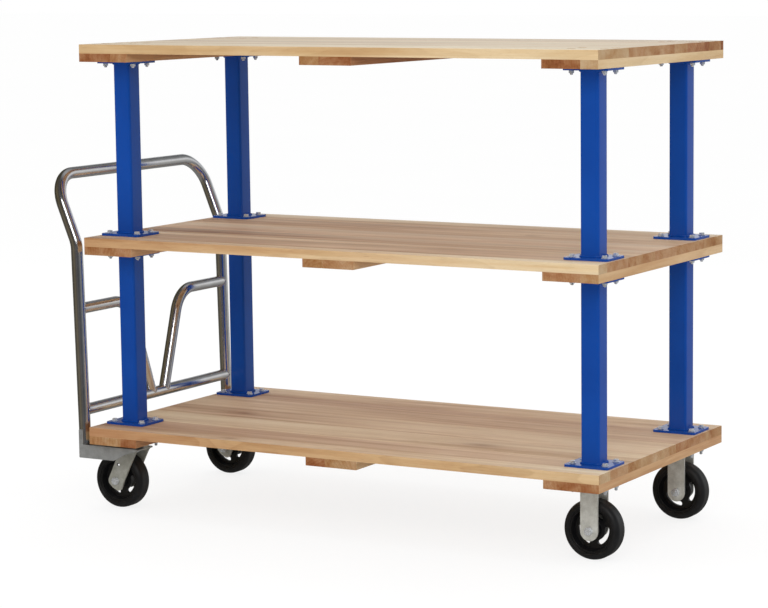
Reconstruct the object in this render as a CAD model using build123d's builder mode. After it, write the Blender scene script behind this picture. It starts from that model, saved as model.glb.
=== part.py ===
"""Three-deck hardwood platform trolley: glued plank decks on cross cleats,
bolted square-tube posts, a bent-tube push handle in two corner sockets, two
rigid casters at the front and two swivel casters at the handle end.

Frame: millimetres, +Z up, floor at z = 0, +X towards the front (rigid caster
end), +Y to the left.  The origin is on the floor under the centre of the
overall box, so the deck centre sits at x = DECK_X.
"""
from build123d import *
from math import cos, radians, sin, tan
import os

os.makedirs("parts", exist_ok=True)

# ---------------------------------------------------------------- shared dimensions
DECK_L = 1524.0            # 60 in
DECK_W = 762.0             # 30 in
PLANK_T = 23.8             # deck boards
CLEAT_T = 22.2             # cross boards under the deck
DECK_T = PLANK_T + CLEAT_T
CASTER_H = 190.5           # floor to underside of the bottom cleats
DECK_PITCH = 514.35        # deck top to deck top
HANDLE_REACH = 905.0       # deck centre to the outer face of the push bar
POST_X, POST_Y = 694.0, 265.0          # post and caster centres from the deck centre
WHEEL_R = 76.2
DECK_X = (HANDLE_REACH - POST_X - WHEEL_R) / 2   # front wheels stand past the deck
DECK_REAR_X = DECK_X - DECK_L / 2

LEVELS = ("bottom", "middle", "top")
DECK_TOP = {level: CASTER_H + DECK_T + i * DECK_PITCH for i, level in enumerate(LEVELS)}
SIDES = ((1, "left"), (-1, "right"))   # sign of y, name

PLATE_X, PLATE_Y, PLATE_T = 121.0, 103.0, 6.35   # post end plates
CASTER_PLATE_X, CASTER_PLATE_Y, CASTER_PLATE_T = 114.3, 101.6, 4.8
PLATE_CORNER_R = 7.0
BOLT_PITCH_X, BOLT_PITCH_Y = 88.9, 63.5
BOLT_R, BOLT_HOLE_R = 3.97, 4.3        # 5/16 in
HEX_AF, HEAD_H, NUT_H = 12.7, 5.3, 6.9
WASHER_R, WASHER_T = 8.7, 1.6
SINK_R, SINK_DEPTH = 11.5, 7.6         # counterbores in the top deck
FIT = 0.05                             # radial clearance of close-fitting parts
THREAD_FIT = 0.03                      # radial clearance in a nut

HANDLE_Y = 344.0                       # centre of each handle upright
LAG_X = (DECK_X - 728.0, DECK_X - 655.0)         # handle socket screws
LAG_XY = [(x, sign * (HANDLE_Y - 2.0)) for sign, _ in SIDES for x in LAG_X]

CORNERS = {
    f"{end}_{side}": (DECK_X + end_sign * POST_X, side_sign * POST_Y)
    for end_sign, end in ((1, "front"), (-1, "rear")) for side_sign, side in SIDES
}
BOLT_XY = [
    (x + dx, y + dy) for x, y in CORNERS.values()
    for dx in (BOLT_PITCH_X / 2, -BOLT_PITCH_X / 2) for dy in (BOLT_PITCH_Y / 2, -BOLT_PITCH_Y / 2)
]


def finish(builder, name):
    builder.part.label = name
    export_step(builder.part, f"parts/{name}.step")


def at_height(points, z):
    return [(x, y, z) for x, y in points]


# ---------------------------------------------------------------- deck boards
GLUE = 0.3                 # visible glue line between boards
BOARD_EDGE_R = 0.8

# y of each deck's outer edges and plank joints
PLANK_JOINTS = {
    "bottom": (-381, -318, -215, -75, 78, 205, 268, 381),
    "middle": (-381, -336, -214, -167, -54, 79, 257, 381),
    "top": (-381, -209, -81, 63, 143, 283, 362, 381),
}
# cleat centre from the deck centre, then its edges and board joint from the cleat centre
CLEATS = ((-686.0, (-76, 22, 76)), (0.0, (-76, -18, 76)), (686.0, (-76, 23, 76)))
# screws in each cleat: x from the cleat centre, y
CLEAT_SCREWS = (
    (-60, -345), (60, -345), (-60, -190), (60, -65),
    (-60, 65), (60, 190), (-60, 345), (60, 345),
)
SCREW_XY = [(DECK_X + cleat_x + dx, y) for cleat_x, _ in CLEATS for dx, y in CLEAT_SCREWS]
SCREW_HOLE_R, SCREW_SINK_R, SCREW_SINK_ANGLE = 2.45, 4.9, 82
PLANK_PILOT_DEPTH = 16.0
LAG_PILOT_DEPTH = 19.0


def glued_boards(joints):
    """Centre and width of each board, with half a glue line off every joint."""
    boards = []
    for low, high in zip(joints, joints[1:]):
        start = low + (GLUE / 2 if low > joints[0] else 0)
        end = high - (GLUE / 2 if high < joints[-1] else 0)
        boards.append(((start + end) / 2, end - start))
    return boards


def deck_planks(level, top):
    base = top - PLANK_T
    with BuildPart() as planks:
        with BuildSketch(Plane.XY.offset(base)):
            for centre, width in glued_boards(PLANK_JOINTS[level]):
                with Locations((DECK_X, centre)):
                    Rectangle(DECK_L, width)
        extrude(amount=PLANK_T)
        fillet(planks.edges().filter_by(Axis.X).group_by(Axis.Z)[-1], radius=BOARD_EDGE_R)
        with Locations(*at_height(BOLT_XY, top)):
            if level == "top":
                CounterBoreHole(radius=BOLT_HOLE_R, counter_bore_radius=SINK_R,
                                counter_bore_depth=SINK_DEPTH)
            else:
                Hole(radius=BOLT_HOLE_R)
        with Locations(*at_height(SCREW_XY, base)):
            Cylinder(SCREW_HOLE_R, PLANK_PILOT_DEPTH,
                     align=(Align.CENTER, Align.CENTER, Align.MIN), mode=Mode.SUBTRACT)
    finish(planks, f"{level}_deck_planks")


def deck_cleats(level, top):
    base = top - DECK_T
    with BuildPart() as cleats:
        with BuildSketch(Plane.XY.offset(base)):
            for cleat_x, joints in CLEATS:
                for centre, width in glued_boards(joints):
                    with Locations((DECK_X + cleat_x + centre, 0)):
                        Rectangle(width, DECK_W)
        extrude(amount=CLEAT_T)
        fillet(cleats.edges().filter_by(Axis.Y).group_by(Axis.Z)[0], radius=BOARD_EDGE_R)
        with Locations(*at_height(BOLT_XY, base + CLEAT_T)):
            Hole(radius=BOLT_HOLE_R)
        with Locations(*[Location(point, (180, 0, 0)) for point in at_height(SCREW_XY, base)]):
            CounterSinkHole(radius=SCREW_HOLE_R, counter_sink_radius=SCREW_SINK_R,
                            depth=CLEAT_T, counter_sink_angle=SCREW_SINK_ANGLE)
        if level == "bottom":
            with Locations(*at_height(LAG_XY, base)):
                Cylinder(BOLT_R + FIT, LAG_PILOT_DEPTH,
                         align=(Align.CENTER, Align.CENTER, Align.MIN), mode=Mode.SUBTRACT)
    finish(cleats, f"{level}_deck_cleats")


for level, top in DECK_TOP.items():
    deck_planks(level, top)
    deck_cleats(level, top)

# ---------------------------------------------------------------- wood screws
# half section, radius and height above the cleat underside; the point is up
SCREW_OUTLINE = ((0, 0.1), (4.6, 0.1), (4.6, 0.25), (2.4, 2.6), (2.4, 32.0), (0, 37.2))
RECESS_L, RECESS_W, RECESS_TOP = 5.0, 1.1, 1.8   # cross recess in the head

with BuildPart() as wood_screw:
    with BuildSketch(Plane.XZ):
        Polygon(*SCREW_OUTLINE, align=None)
    revolve(axis=Axis.Z)
    with BuildSketch(Plane.XY):
        Rectangle(RECESS_L, RECESS_W)
        Rectangle(RECESS_W, RECESS_L)
    extrude(amount=RECESS_TOP, mode=Mode.SUBTRACT)

with BuildPart() as cleat_screws:
    for top in DECK_TOP.values():
        with Locations(*at_height(SCREW_XY, top - DECK_T)):
            add(wood_screw.part)
finish(cleat_screws, "cleat_screws")

# ---------------------------------------------------------------- hex fasteners
HEX_CHAMFER_SLOPE = 0.58   # drop per unit of radius outside the flats
BOLT_TIP = 1.5             # length of the tapered tip
BOLT_TIP_INSET = 1.4
BOLT_SPARE = {"bottom": 8.0, "middle": 4.5, "top": 4.5}   # shank past the nut


def hex_solid(across, height, bore=0.0, both=False):
    """Hex head or nut standing on z = 0, corners chamfered on top (or both ends)."""
    corner = across / cos(radians(30)) / 2
    drop = (corner - across / 2) * HEX_CHAMFER_SLOPE
    outer = corner + 0.1   # the trimming profile clears the corners
    foot = [(across / 2, 0), (outer, drop)] if both else [(outer, 0)]
    with BuildPart() as body:
        with BuildSketch():
            RegularPolygon(radius=across / 2, side_count=6, major_radius=False)
        extrude(amount=height)
        with BuildSketch(Plane.XZ):
            Polygon((0, 0), *foot, (outer, height - drop), (across / 2, height), (0, height),
                    align=None)
        revolve(axis=Axis.Z, mode=Mode.INTERSECT)
        if bore:
            with Locations((0, 0, height)):
                Hole(radius=bore)
    return body.part


bolt_head = hex_solid(HEX_AF, HEAD_H)
bolt_nut = hex_solid(HEX_AF, NUT_H, bore=BOLT_R + THREAD_FIT, both=True)


def bolt_solid(length):
    """Hex bolt, underside of the head at z = 0, shank pointing down."""
    with BuildPart() as bolt:
        add(bolt_head)
        with BuildSketch(Plane.XZ):
            Polygon((0, 0), (BOLT_R, 0), (BOLT_R, -length + BOLT_TIP),
                    (BOLT_R - BOLT_TIP_INSET, -length), (0, -length), align=None)
        revolve(axis=Axis.Z)
    return bolt.part


# underside of the head washer, and upper face of the nut, on each deck
WASHER_Z = {
    "bottom": DECK_TOP["bottom"] + PLATE_T,
    "middle": DECK_TOP["middle"] + PLATE_T,
    "top": DECK_TOP["top"] - SINK_DEPTH,
}
NUT_TOP_Z = {
    "bottom": CASTER_H - CASTER_PLATE_T,
    "middle": DECK_TOP["middle"] - DECK_T - PLATE_T,
    "top": DECK_TOP["top"] - DECK_T - PLATE_T,
}


def deck_bolts(level):
    head_z = WASHER_Z[level] + WASHER_T
    bolt = bolt_solid(head_z - NUT_TOP_Z[level] + NUT_H + BOLT_SPARE[level])
    with BuildPart() as bolts:
        with Locations(*at_height(BOLT_XY, head_z)):
            add(bolt)
    finish(bolts, f"{level}_deck_bolts")


for level in LEVELS:
    deck_bolts(level)

with BuildPart() as deck_bolt_nuts:
    for level in LEVELS:
        with Locations(*at_height(BOLT_XY, NUT_TOP_Z[level] - NUT_H)):
            add(bolt_nut)
finish(deck_bolt_nuts, "deck_bolt_nuts")

with BuildPart() as deck_bolt_washers:
    for level in LEVELS:
        with BuildSketch(Plane.XY.offset(WASHER_Z[level])):
            with Locations(*BOLT_XY):
                Circle(WASHER_R)
                Circle(BOLT_R + FIT, mode=Mode.SUBTRACT)
        extrude(amount=WASHER_T)
finish(deck_bolt_washers, "deck_bolt_washers")

# ---------------------------------------------------------------- posts
POST_SQ, POST_R, POST_WALL = 50.8, 6.0, 3.2
POST_BORE = POST_SQ - 2 * POST_WALL
POST_WELD_R = 3.5          # fillet between tube and end plates


def post(name, x, y, z_low, z_high):
    """Square tube with a bolted plate at each end."""
    with BuildPart() as body:
        with BuildSketch(Plane.XY.offset(z_low)):
            with Locations((x, y)):
                RectangleRounded(POST_SQ, POST_SQ, POST_R)
                RectangleRounded(POST_BORE, POST_BORE, POST_R - POST_WALL, mode=Mode.SUBTRACT)
        extrude(amount=z_high - z_low)
        for plate_z in (z_low, z_high - PLATE_T):
            with BuildSketch(Plane.XY.offset(plate_z)):
                with Locations((x, y)):
                    RectangleRounded(PLATE_X, PLATE_Y, PLATE_CORNER_R)
                    with GridLocations(BOLT_PITCH_X, BOLT_PITCH_Y, 2, 2):
                        Circle(BOLT_HOLE_R, mode=Mode.SUBTRACT)
            extrude(amount=PLATE_T)
        # the tube's outer outline where it meets the plates
        toes = [
            edge for edge in body.edges()
            if (abs(edge.center().Z - z_low - PLATE_T) < 0.01
                or abs(edge.center().Z - z_high + PLATE_T) < 0.01)
            and 22.8 < max(abs(edge.center().X - x), abs(edge.center().Y - y)) < 26
        ]
        fillet(toes, radius=POST_WELD_R)
    finish(body, name)


for tier, lower, upper in (("lower", "bottom", "middle"), ("upper", "middle", "top")):
    for corner, (x, y) in CORNERS.items():
        post(f"post_{tier}_{corner}", x, y, DECK_TOP[lower], DECK_TOP[upper] - DECK_T)

# ---------------------------------------------------------------- handle
TUBE_R, TUBE_WALL = 15.875, 2.0        # hoop, 1 1/4 in tube
RAIL_R, BRACE_R = 15.6, 15.3
BEND_R = 85.0
LEAN = radians(1.2)                    # the uprights lean to the rear going up
FOOT_X, FOOT_Z = -803.2, 157.5         # foot of the upright, x from the deck centre
UPRIGHT_DIR = (-sin(LEAN), 0, cos(LEAN))
PUSH_Z = 911.5                         # push bar centre
PUSH_X = DECK_X - HANDLE_REACH + TUBE_R
UPPER_RUN = 0.405                      # upper run: rearward travel per unit of rise
RAIL_Z = 275.0
BRACE_Z = 552.0                        # brace meets the upright
BRACE_KNEE_Y, BRACE_FOOT_Y = 124.3, 29.6
TRIM = 60.0                            # half length of the cutters that cope tube ends


def lean_x(z):
    """Centre line of a leaning handle upright at height z."""
    return DECK_X + FOOT_X - tan(LEAN) * (z - FOOT_Z)


def rounded_path(points, radius):
    """Straight runs and tangent arcs through points, drawn in the open BuildLine."""
    points = [Vector(*point) for point in points]
    start = points[0]
    for before, corner, after in zip(points, points[1:], points[2:]):
        back = (before - corner).normalized()
        ahead = (after - corner).normalized()
        half = radians(back.get_angle(ahead) / 2)
        reach = radius / tan(half)
        arc_start, arc_end = corner + back * reach, corner + ahead * reach
        arc_mid = corner + (back + ahead).normalized() * (radius / sin(half) - radius)
        Line(start, arc_start)
        ThreePointArc(arc_start, arc_mid, arc_end)
        start = arc_end
    Line(start, points[-1])


# the upper run falls from the push bar and meets the leaning upright at the knee
KNEE_Z = ((PUSH_X + UPPER_RUN * PUSH_Z - DECK_X - FOOT_X - tan(LEAN) * FOOT_Z)
          / (UPPER_RUN - tan(LEAN)))
right_half = [
    (lean_x(FOOT_Z), -HANDLE_Y, FOOT_Z),
    (lean_x(KNEE_Z), -HANDLE_Y, KNEE_Z),
    (PUSH_X, -HANDLE_Y, PUSH_Z),
]
left_half = [(x, -y, z) for x, y, z in reversed(right_half)]
with BuildPart() as handle_hoop:
    with BuildLine() as hoop_path:
        rounded_path(right_half + left_half, BEND_R)
    with BuildSketch(Plane(origin=hoop_path.line @ 0, z_dir=hoop_path.line % 0)):
        Circle(TUBE_R)
        Circle(TUBE_R - TUBE_WALL, mode=Mode.SUBTRACT)
    sweep()
finish(handle_hoop, "handle_hoop")


def upright_plane(sign, z):
    """Cross-section of one upright, its normal along the leaning tube."""
    return Plane(origin=(lean_x(z), sign * HANDLE_Y, z), z_dir=UPRIGHT_DIR)


with BuildPart() as handle_lower_rail:
    with BuildSketch(Plane(origin=(lean_x(RAIL_Z), -HANDLE_Y, RAIL_Z), z_dir=(0, 1, 0))):
        Circle(RAIL_R)
        Circle(RAIL_R - TUBE_WALL, mode=Mode.SUBTRACT)
    extrude(amount=2 * HANDLE_Y)
    for sign in (-1, 1):
        with BuildSketch(upright_plane(sign, RAIL_Z - TRIM)):
            Circle(TUBE_R)
        extrude(amount=2 * TRIM, mode=Mode.SUBTRACT)
finish(handle_lower_rail, "handle_lower_rail")


def handle_brace(sign, side):
    """Bent tube from an upright inwards and down to the lower rail."""
    with BuildPart() as brace:
        with BuildLine() as brace_path:
            rounded_path([
                (lean_x(BRACE_Z), sign * HANDLE_Y, BRACE_Z),
                (lean_x(BRACE_Z), sign * BRACE_KNEE_Y, BRACE_Z),
                (lean_x(RAIL_Z), sign * BRACE_FOOT_Y, RAIL_Z),
            ], BEND_R)
        with BuildSketch(Plane(origin=brace_path.line @ 0, z_dir=brace_path.line % 0)):
            Circle(BRACE_R)
            Circle(BRACE_R - TUBE_WALL, mode=Mode.SUBTRACT)
        sweep()
        with BuildSketch(upright_plane(sign, BRACE_Z - TRIM)):
            Circle(TUBE_R)
        extrude(amount=2 * TRIM, mode=Mode.SUBTRACT)
        with BuildSketch(Plane(origin=(lean_x(RAIL_Z), -TRIM, RAIL_Z), z_dir=(0, 1, 0))):
            Circle(RAIL_R)
        extrude(amount=2 * TRIM, mode=Mode.SUBTRACT)
    finish(brace, f"handle_brace_{side}")


for sign, side in SIDES:
    handle_brace(sign, side)

# ---------------------------------------------------------------- handle sockets
SOCK_T = 3.0
SOCK_IN = TUBE_R + FIT                 # half width inside the channel
SOCK_OUT = SOCK_IN + SOCK_T
SOCK_REAR, SOCK_FRONT = DECK_X - 811.5, DECK_X - 622.0
TAPER_X = DECK_X - 700.0               # the floor rises forward of here
FLOOR_Z = 153.5                        # underside of the channel floor
SOCK_FRONT_Z, WALL_Z = 178.0, 183.0    # underside at the front, top of the side walls
EAR_X, EAR_Z = DECK_X - 798.0, 224.0   # tall part of the side walls at the rear
LIP_Z = 146.5
FLANGE_L, FLANGE_W, FLANGE_OFFSET = SOCK_FRONT - DECK_REAR_X, 31.0, 14.0
FLANGE_X = (DECK_REAR_X + SOCK_FRONT) / 2
ACCESS_R = 9.0                         # holes in the floor below the screws
SOCK_CORNER_R = 2.5
OVERCUT = 5.0

# side views, x and z
SOCK_OUTLINE = (
    (SOCK_REAR, FLOOR_Z), (TAPER_X, FLOOR_Z), (SOCK_FRONT, SOCK_FRONT_Z),
    (SOCK_FRONT, WALL_Z), (EAR_X, WALL_Z), (EAR_X, EAR_Z), (SOCK_REAR, EAR_Z),
)
CHANNEL_OUTLINE = (
    (SOCK_REAR - OVERCUT, FLOOR_Z + SOCK_T), (TAPER_X - 0.5, FLOOR_Z + SOCK_T),
    (SOCK_FRONT + OVERCUT, 182.8), (SOCK_FRONT + OVERCUT, EAR_Z + OVERCUT),
    (SOCK_REAR - OVERCUT, EAR_Z + OVERCUT),
)
LIP_OUTLINE = (
    (SOCK_REAR, LIP_Z), (DECK_X - 697.0, LIP_Z), (DECK_X - 649.0, 171.0),
    (SOCK_FRONT, SOCK_FRONT_Z), (SOCK_FRONT, WALL_Z - 1), (SOCK_REAR, WALL_Z - 1),
)


def handle_socket(sign, side):
    tube_y = sign * HANDLE_Y
    inner_wall_y = sign * (HANDLE_Y - SOCK_IN - SOCK_T / 2)
    lags = [(x, y) for x, y in LAG_XY if y * sign > 0]
    with BuildPart() as socket:
        with BuildSketch(Plane.XZ.offset(-tube_y)):
            Polygon(*SOCK_OUTLINE, align=None)
        extrude(amount=SOCK_OUT, both=True)
        with BuildSketch(Plane.XZ.offset(-tube_y)):
            Polygon(*CHANNEL_OUTLINE, align=None)
        extrude(amount=SOCK_IN, both=True, mode=Mode.SUBTRACT)
        # outer and rear walls hang below the floor as a lip
        with BuildSketch(Plane.XZ.offset(-(tube_y + sign * SOCK_OUT))):
            Polygon(*LIP_OUTLINE, align=None)
        extrude(amount=sign * SOCK_T)
        with BuildSketch(Plane.XY.offset(LIP_Z)):
            with Locations((SOCK_REAR + SOCK_T / 2, tube_y)):
                Rectangle(SOCK_T, 2 * SOCK_OUT)
        extrude(amount=FLOOR_Z - LIP_Z + 1)
        # inner wall carried up to the cleat, with the fixing flange folded over the channel
        with BuildSketch(Plane.XY.offset(WALL_Z - 1)):
            with Locations((FLANGE_X, inner_wall_y)):
                Rectangle(FLANGE_L, SOCK_T)
        extrude(amount=CASTER_H - WALL_Z + 1)
        with BuildSketch(Plane.XY.offset(CASTER_H - SOCK_T)):
            with Locations((FLANGE_X, inner_wall_y + sign * FLANGE_OFFSET)):
                Rectangle(FLANGE_L, FLANGE_W)
        extrude(amount=SOCK_T)
        with Locations(*at_height(lags, CASTER_H)):
            Hole(radius=BOLT_HOLE_R, depth=4.0)
        with Locations(*at_height(lags, FLOOR_Z + 26)):
            Hole(radius=ACCESS_R, depth=40.0)
        corners = [
            edge for edge in socket.edges().filter_by(Axis.Y)
            if (abs(edge.center().X - SOCK_REAR) < 0.01 and abs(edge.center().Z - LIP_Z) < 0.01)
            or (abs(edge.center().Z - EAR_Z) < 0.01 and edge.center().X < EAR_X + 0.01)
        ]
        fillet(corners, radius=SOCK_CORNER_R)
    finish(socket, f"handle_socket_{side}")


for sign, side in SIDES:
    handle_socket(sign, side)

LAG_SHANK, LAG_L = 16.0, 21.5          # full-width length and length to the point
with BuildPart() as lag_screw:
    with BuildSketch(Plane.XZ):
        Polygon((0, 0), (BOLT_R, 0), (BOLT_R, LAG_SHANK), (0, LAG_L), align=None)
    revolve(axis=Axis.Z)
    with Locations(Location((0, 0, 0), (180, 0, 0))):
        add(bolt_head)

with BuildPart() as handle_socket_screws:
    with Locations(*at_height(LAG_XY, CASTER_H - SOCK_T)):
        add(lag_screw.part)
finish(handle_socket_screws, "handle_socket_screws")

# ---------------------------------------------------------------- wheels
FORK_IN, FORK_T = 27.0, 5.0            # half gap between fork legs, leg thickness
FORK_OUT = FORK_IN + FORK_T
AXLE_R = 6.35                          # 1/2 in
SLEEVE_R, BORE_R = 9.5, 14.2
ROLLERS, ROLLER_R, ROLLER_L = 10, 2.28, 44.0
RETAINER_T = 1.7
RETAINER_STARTS = (-24.0, 22.3)        # offsets along the axle
HUB_R, HUB_W, HUB_CHAMFER = 22.5, 52.0, 1.5
OPENING_IN, OPENING_OUT = 30.6, 42.4   # radii bounding the web openings
OPENING_MID = (OPENING_IN + OPENING_OUT) / 2
OPENING_END_R = (OPENING_OUT - OPENING_IN) / 2
OPENING_HALF = 33                      # degrees from an opening's middle to its end centres
WHEEL_W, TREAD_EDGE_R = 50.0, 13.8
AXLE_AF, AXLE_HEAD_H, AXLE_NUT_H = 19.05, 8.0, 11.0
AXLE_SPARE = 2.5                       # axle past the nut

# half sections: offset along the axle, radius
WEB_OUTLINE = ((-6.5, 20), (6.5, 20), (5.0, 29), (5.0, 50), (-5.0, 50), (-5.0, 29))
RIM_OUTLINE = (
    (-22.0, 54.0), (-18.0, 53.5), (-5.0, 49.0), (5.0, 49.0),
    (18.0, 53.5), (22.0, 54.0), (22.0, 58), (-22.0, 58),
)
TYRE_OUTLINE = (
    (-22.0, 58), (22.0, 58), (WHEEL_W / 2, 62), (WHEEL_W / 2, WHEEL_R),
    (-WHEEL_W / 2, WHEEL_R), (-WHEEL_W / 2, 62),
)


def wheel_face(x, y):
    """Mid-plane of a wheel, seen along the axle; its normal is -Y."""
    return Plane(origin=(x, y, WHEEL_R), x_dir=(1, 0, 0), z_dir=(0, -1, 0))


def wheel_section(x, y):
    """Upright plane through the axle: local x along it, local y the radius."""
    return Plane(origin=(x, y, WHEEL_R), x_dir=(0, 1, 0), z_dir=(1, 0, 0))


def wheel_axis(x, y):
    return Axis((x, y, WHEEL_R), (0, 1, 0))


def axle_sleeve(prefix, x, y):
    with BuildPart() as sleeve:
        with BuildSketch(wheel_face(x, y).offset(-FORK_IN)):
            Circle(SLEEVE_R)
            Circle(AXLE_R + FIT, mode=Mode.SUBTRACT)
        extrude(amount=2 * FORK_IN)
    finish(sleeve, f"{prefix}_axle_sleeve")


def roller_bearing(prefix, x, y):
    """Ring of rollers between two flat retaining rings."""
    face = wheel_face(x, y)
    with BuildPart() as bearing:
        with BuildSketch(face.offset(-ROLLER_L / 2)):
            with PolarLocations((SLEEVE_R + BORE_R) / 2, ROLLERS):
                Circle(ROLLER_R)
        extrude(amount=ROLLER_L)
        for start in RETAINER_STARTS:
            with BuildSketch(face.offset(start)):
                Circle(BORE_R - FIT)
                Circle(SLEEVE_R + FIT, mode=Mode.SUBTRACT)
            extrude(amount=RETAINER_T)
    finish(bearing, f"{prefix}_roller_bearing")


def wheel_core(prefix, x, y, open_at):
    """Hub, web and rim. Three curved openings pierce the web;
    open_at is the middle of the first in degrees."""
    with BuildPart() as core:
        with BuildSketch(wheel_section(x, y)):
            with Locations((0, (BORE_R + HUB_R) / 2)):
                Rectangle(HUB_W, HUB_R - BORE_R)
            Polygon(*WEB_OUTLINE, align=None)
            Polygon(*RIM_OUTLINE, align=None)
        revolve(axis=wheel_axis(x, y))
        with BuildSketch(wheel_face(x, y)):
            Circle(OPENING_OUT)
            Circle(OPENING_IN, mode=Mode.SUBTRACT)
            # wedges leave the spokes solid
            for k in range(3):
                wedge = [Vector(60, 0).rotate(Axis.Z, open_at + 120 * k + angle)
                         for angle in (OPENING_HALF, 120 - OPENING_HALF)]
                Polygon((0, 0), *[(tip.X, tip.Y) for tip in wedge], align=None,
                        mode=Mode.SUBTRACT)
            # round ends on the openings
            for k in range(3):
                for angle in (-OPENING_HALF, OPENING_HALF):
                    end = Vector(OPENING_MID, 0).rotate(Axis.Z, open_at + 120 * k + angle)
                    with Locations((end.X, end.Y)):
                        Circle(OPENING_END_R)
        extrude(amount=9, both=True, mode=Mode.SUBTRACT)
        hub_rims = [edge for edge in core.edges().filter_by(GeomType.CIRCLE)
                    if abs(edge.radius - HUB_R) < 0.01
                    and abs(abs(edge.center().Y - y) - HUB_W / 2) < 0.01]
        chamfer(hub_rims, length=HUB_CHAMFER)
    finish(core, f"{prefix}_wheel_core")


def tyre(prefix, x, y):
    with BuildPart() as body:
        with BuildSketch(wheel_section(x, y)) as tread:
            Polygon(*TYRE_OUTLINE, align=None)
            fillet(tread.vertices().group_by(Axis.Y)[-1], radius=TREAD_EDGE_R)
        revolve(axis=wheel_axis(x, y))
    finish(body, f"{prefix}_tyre")


axle_head = hex_solid(AXLE_AF, AXLE_HEAD_H)
axle_nut = hex_solid(AXLE_AF, AXLE_NUT_H, bore=AXLE_R + THREAD_FIT, both=True)


def axle_bolt(prefix, x, y, out):
    """Bolt with its head outboard (out = +1 or -1 along Y) and a nut inboard."""
    length = 2 * FORK_OUT + AXLE_NUT_H + AXLE_SPARE
    to_head = Plane(origin=(x, y + out * FORK_OUT, WHEEL_R), x_dir=(1, 0, 0), z_dir=(0, out, 0))
    to_nut = Plane(origin=(x, y - out * FORK_OUT, WHEEL_R), x_dir=(1, 0, 0), z_dir=(0, -out, 0))
    with BuildPart() as axle:
        with Locations(to_head.location):
            add(axle_head)
        with BuildSketch(to_head.offset(-length)):
            Circle(AXLE_R)
        extrude(amount=length)
        chamfer(axle.faces().sort_by(Axis.Y)[0 if out > 0 else -1].edges(), length=1.2)
        with Locations(to_nut.location):
            add(axle_nut)
    finish(axle, f"{prefix}_axle_bolt")


def wheel_set(prefix, x, y, out, open_at):
    axle_sleeve(prefix, x, y)
    roller_bearing(prefix, x, y)
    wheel_core(prefix, x, y, open_at)
    tyre(prefix, x, y)
    axle_bolt(prefix, x, y, out)


# ---------------------------------------------------------------- rigid casters
LEG_HALF, LEG_END_Z = 23.9, 74.2       # half width, centre of the rounded end
PLATE_BASE_Z = CASTER_H - CASTER_PLATE_T
RIGID_X = DECK_X + POST_X


def rigid_fork(prefix, y):
    with BuildPart() as fork:
        with BuildSketch(Plane.XY.offset(PLATE_BASE_Z)):
            with Locations((RIGID_X, y)):
                RectangleRounded(CASTER_PLATE_X, CASTER_PLATE_Y, PLATE_CORNER_R)
                with GridLocations(BOLT_PITCH_X, BOLT_PITCH_Y, 2, 2):
                    Circle(BOLT_HOLE_R, mode=Mode.SUBTRACT)
        extrude(amount=CASTER_PLATE_T)
        for leg_y in (y - FORK_OUT, y + FORK_IN):
            with BuildSketch(Plane.XZ.offset(-leg_y)):
                Polygon((RIGID_X - LEG_HALF, PLATE_BASE_Z), (RIGID_X - LEG_HALF, LEG_END_Z),
                        (RIGID_X + LEG_HALF, LEG_END_Z), (RIGID_X + LEG_HALF, PLATE_BASE_Z),
                        align=None)
                with Locations((RIGID_X, LEG_END_Z)):
                    Circle(LEG_HALF)
                with Locations((RIGID_X, WHEEL_R)):
                    Circle(AXLE_R + FIT, mode=Mode.SUBTRACT)
            extrude(amount=-FORK_T)
        roots = [edge for edge in fork.edges().filter_by(Axis.X)
                 if abs(edge.center().Z - PLATE_BASE_Z) < 0.01
                 and abs(edge.center().X - RIGID_X) < 1
                 and 20 < abs(edge.center().Y - y) < 40]
        fillet(roots, radius=3.0)
    finish(fork, f"{prefix}_fork")


for (sign, side), open_at in zip(SIDES, (-3.5, -30)):
    prefix = f"rigid_caster_{side}"
    wheel_set(prefix, RIGID_X, sign * POST_Y, sign, open_at)
    rigid_fork(prefix, sign * POST_Y)

# ---------------------------------------------------------------- swivel casters
KING_X = DECK_X - POST_X
TRAIL = 46.0                           # swivel axle behind the king bolt
SWIVEL_AXLE_X = KING_X - TRAIL
BALL_R, RACE_R, BALL_Z, BALLS = 4.7625, 27.0, 177.9, 16
RACE_HALF_GAP = 1.0                    # ball centre height to either race's face
CROWN_R, CROWN_L, CROWN_Z0, CROWN_Z1 = 36.0, 66.0, 165.0, 170.0
FORK_RACE_R = 35.0
KING_NUT_H, KING_NUT_GAP = 8.5, 0.15

# half sections about the king bolt: radius, z
KING_SEAT_OUTLINE = (
    (0, 178), (AXLE_R + FIT, 178), (AXLE_R + FIT, 184.95),
    (11.55, CASTER_H), (11.55, 192), (0, 192),
)
KING_BOLT_OUTLINE = (
    (0, 153.6), (5.2, 153.6), (AXLE_R, 154.8), (AXLE_R, 185.05),
    (11.1, 190.2), (11.1, 190.4), (0, 190.4),
)
# side view of a leg: x from the king bolt, z
SWIVEL_LEG = (
    (33, 170), (21, 157.5), (-18, 80), (-29, 52), (-40, 48.5),
    (-58, 57), (-70, 69), (-71, 79), (-36, 153), (-33, 170),
)
LEG_HOLE_X, LEG_HOLE_Z, LEG_HOLE_R = -37.5, 122.0, 4.5


def king_section(y):
    """Plane through the king bolt: local x the radius, local y the height."""
    return Plane(origin=(KING_X, y, 0), x_dir=(1, 0, 0), z_dir=(0, -1, 0))


def king_axis(y):
    return Axis((KING_X, y, 0), (0, 0, 1))


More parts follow.
